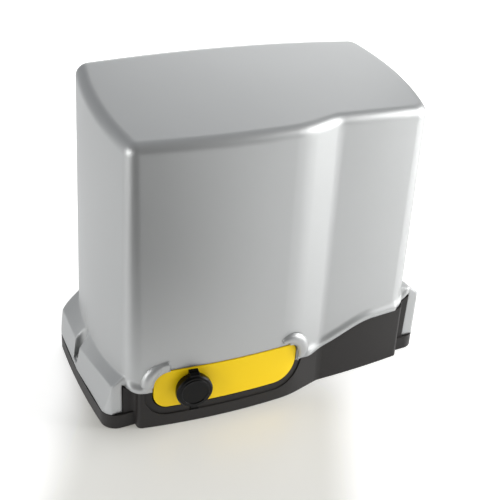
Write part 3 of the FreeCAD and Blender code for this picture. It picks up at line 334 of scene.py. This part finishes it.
lips = [lip("lip_right", 14.5, 141.5, 110, (8, 6)), lip("lip_left", -141.5, -122.5, 30, (5, 4))]
crescents = [crescent("crescent_left", lever_left + 13, lever_high - 13, radius=19.4,
                      start=104, end=194, half=5.0, height=4.0),
             crescent("crescent_right", lever_right - 8, lever_high - 8, radius=14.8,
                      start=116, end=-34, half=5.6, height=4.6)]
cover_paint.onto("cover_shell", *lips, *crescents)


# ---- Base and its fittings ----
# The base tray is moulded in dark grey glass-filled nylon with a fine grain. Brass inserts,
# levelling screws and a rubber grommet sit in it, and a brass stud takes the earth wire.
base_plastic = Finish("base_plastic", (0.020, 0.018, 0.0165), 0.48, edge=0.0010,
                      grain=(900, 0.00008), IOR=1.32)
base_plastic.onto("base_tray", "release_housing")
zinc = Finish("zinc_plated", (0.62, 0.63, 0.62), 0.32, 1.0, edge=0.0004)
zinc.onto("levelling_screws", "cover_screws", "pinion_screw", "hinge_pin")
brass = Finish("brass", (0.78, 0.57, 0.24), 0.34, 1.0, edge=0.0004)
brass.onto("screw_inserts", "earth_stud", "oil_plug")
rubber = Finish("rubber", gray(0.012), 0.6, edge=0.0006)
rubber.onto("cable_grommet", "gearbox_gasket", "shaft_seal")


# ---- Release lever and lock ----
# The lever is a glossy yellow moulding. The lock's collar and dust cap are black rubber, its
# barrel and plug are nickel-plated, and the cam behind the lever is white nylon.
Finish("lever_yellow", (1.0, 0.68, 0.006), 0.5, edge=0.0008, IOR=1.3).onto("release_lever")
cap_rubber = Finish("cap_rubber", (0.0018, 0.0018, 0.0016), 0.24, edge=0.0009, IOR=1.25)
cap_rubber.onto("dust_cap", "cap_collar")
Finish("nickel", (0.60, 0.58, 0.54), 0.28, 1.0, edge=0.0003).onto("lock_barrel", "lock_plug")
Finish("cam_nylon", (0.62, 0.60, 0.54), 0.45, edge=0.0005).onto("release_cam")


# ---- Gearbox ----
# The housing and its cover are pressure die-cast aluminium, left as cast, with a seat for each
# bearing. Shafts, bearings, clutch and pinion are ground steel, and the worm wheel is bronze.
cast = Finish("cast_aluminium", (0.52, 0.53, 0.54), 0.48, 0.85, edge=0.0008, grain=(1400, 0.00006))
cast.onto("gearbox_housing", "gearbox_cover", "motor_flange", "motor_end_cap")
steel = Finish("ground_steel", gray(0.50), 0.26, 1.0, edge=0.0003)
steel.onto("front_bearing", "rear_bearing", "lower_worm_bearing", "upper_worm_bearing",
           "top_bearing", "output_shaft", "worm_shaft", "shaft_keys", "clutch_ring",
           "release_rod", "drive_pinion")
Finish("bronze", (0.62, 0.40, 0.16), 0.35, 1.0, edge=0.0003).onto("worm_wheel")


# ---- Motor ----
# The motor stands on the gearbox in a black painted steel can. Its stator and rotor are stacks
# of steel laminations, and its windings are enamelled copper wire.
Finish("can_paint", (0.025, 0.026, 0.028), 0.38, edge=0.0006).onto("motor_can")
Finish("laminations", (0.30, 0.29, 0.28), 0.45, 0.9, edge=0.0003).onto("stator_core", "rotor_core")
Finish("copper_enamel", (0.62, 0.20, 0.05), 0.35, 0.8, edge=0.0006).onto("stator_windings")


# ---- Control electronics ----
# A green board is screwed to a grey moulded carrier, and bears relays, terminals, trimmers and
# indicator lamps. Its screws and its small parts are made here, each kind as one piece.
Finish("carrier_plastic", (0.30, 0.31, 0.32), 0.5, edge=0.0006).onto("board_carrier")
Finish("solder_mask", (0.012, 0.16, 0.055), 0.3, edge=0.0002).onto("control_board")
Finish("relay_blue", (0.02, 0.10, 0.38), 0.35, edge=0.0005).onto("relays")
Finish("terminal_green", (0.03, 0.33, 0.13), 0.4, edge=0.0004).onto("terminal_blocks")
Finish("transformer_yellow", (0.60, 0.42, 0.08), 0.5, edge=0.0006).onto("transformer")
Finish("capacitor_white", (0.72, 0.72, 0.70), 0.4, edge=0.0008).onto("motor_capacitor")
black = Finish("black_plastic", gray(0.015), 0.4, edge=0.0005)
black.onto("capacitor_clip", "limit_switch_box", "fuse_holder", "release_switch")
zinc.onto("limit_wand")


def blocks(name, spots, size):
    """Equal small blocks in one piece on the base: centres and size in mm, edges along the
    axes."""
    corner = np.array([[x, y, z] for x in (-1, 1) for y in (-1, 1) for z in (-1, 1)]) / 2
    sides = np.array([(0, 1, 3, 2), (4, 6, 7, 5), (0, 4, 5, 1), (2, 3, 7, 6), (0, 2, 6, 4),
                      (1, 5, 7, 3)])
    points = np.concatenate([np.array(spot) + corner * size for spot in spots])
    faces = np.concatenate([sides + len(corner) * i for i in range(len(spots))])
    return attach(mesh_piece(name, points / 1000, faces, smooth=False), "base")


def buttons(name, spots, profile):
    """Equal turned parts in one piece on the base: centres in mm, and a profile of (radius,
    height) pairs turned round the Y axis; heights run against the axis."""
    around = 24
    angle = np.linspace(0, 2 * np.pi, around, endpoint=False)
    r, h = np.array(profile, float).T[:, :, None]
    ring = np.stack([r * np.cos(angle), -h + 0 * angle, r * np.sin(angle)], -1).reshape(-1, 3)
    index = np.arange(len(ring)).reshape(-1, around)
    onward = np.roll(index, -1, axis=1)
    one = np.stack([index[:-1], index[1:], onward[1:], onward[:-1]], -1).reshape(-1, 4)
    points = np.concatenate([np.array(spot) + ring for spot in spots])
    faces = np.concatenate([one + i * len(ring) for i in range(len(spots))])
    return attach(mesh_piece(name, points / 1000, faces), "base")


board_low, board_high = (np.array(corner) * 1000 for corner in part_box("control_board"))
left_x, board_face, low_z = board_low
right_x, high_z = board_high[0], board_high[2]
tin = Finish("tin", (0.66, 0.66, 0.65), 0.3, 1.0)

screw_inset = 5
board_screws = buttons("board_screws",
                       [(x, board_face, z) for x in (left_x + screw_inset, right_x - screw_inset)
                        for z in (low_z + screw_inset, high_z - screw_inset)],
                       [(0, 1.6), (1.8, 1.6), (2.6, 1.1), (3.0, 0.2), (3.0, 0)])
zinc.onto(board_screws)

chip_size, leg_size, leg_reach, leg_pitch = (12, 1.8, 12), (2.2, 0.6, 0.5), 7, 1.27
chip_spots = [(left_x + 26, low_z + 38), (left_x + 52, low_z + 30)]
chips = blocks("chips", [(x, board_face - chip_size[1] / 2, z) for x, z in chip_spots], chip_size)
legs = blocks("chip_legs", [(x + side * leg_reach, board_face - leg_size[1] / 2, z + leg_pitch * i)
                            for x, z in chip_spots for side in (-1, 1) for i in range(-4, 5)],
              leg_size)
resistor_size, resistor_count, resistor_pitch = (3.2, 1.0, 1.6), 12, 5
row_count, row_pitch = 3, 4
resistors = blocks("resistors", [(left_x + 14 + resistor_pitch * i,
                                  board_face - resistor_size[1] / 2,
                                  low_z + 22 + row_pitch * (i % row_count))
                                 for i in range(resistor_count)], resistor_size)
black.onto(chips, resistors)
tin.onto(legs)

cans = buttons("smoothing_capacitors",
               [(right_x - 14, board_face, low_z + height) for height in (54, 65, 76)],
               [(0, 11), (3.2, 11), (4.1, 10.6), (4.4, 9.9), (4.4, 1.6), (4.1, 1.1), (4.4, 0.6),
                (4.4, 0)])
Finish("sleeve_blue", (0.02, 0.03, 0.10), 0.35).onto(cans)

trimmer_size, trimmer_count, trimmer_pitch = (6.5, 4.4, 6.5), 3, 9
trimmer_spots = [(left_x + 74 + trimmer_pitch * i, high_z - 12) for i in range(trimmer_count)]
trimmers = blocks("trimmers", [(x, board_face - trimmer_size[1] / 2, z) for x, z in trimmer_spots],
                  trimmer_size)
Finish("trimmer_blue", (0.03, 0.16, 0.55), 0.35).onto(trimmers)
dials = buttons("trimmer_dials", [(x, board_face - trimmer_size[1], z) for x, z in trimmer_spots],
                [(0, 0.7), (1.9, 0.7), (2.2, 0.3), (2.2, 0)])

lens_count, lens_pitch = 5, 6
lenses = buttons("indicator_lenses",
                 [(left_x + 14 + lens_pitch * i, board_face, low_z + 18)
                  for i in range(lens_count)],
                 [(0, 2.6), (0.8, 2.4), (1.4, 1.6), (1.5, 0)])
Finish("lens_red", (0.55, 0.02, 0.02), 0.2).onto(lenses)

terminal_low, terminal_high = (np.array(corner) * 1000 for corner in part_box("terminal_blocks"))
terminal_pitch, terminal_inset = 5.0, 4
terminal_count = int((terminal_high[0] - terminal_low[0] - terminal_inset) / terminal_pitch)
terminal_screws = buttons("terminal_screws",
                          [(terminal_low[0] + terminal_inset + terminal_pitch * i,
                            terminal_low[1], terminal_high[2] - terminal_inset)
                           for i in range(terminal_count)], [(0, 0.3), (1.4, 0.3), (1.7, 0)])
tin.onto(dials, terminal_screws)
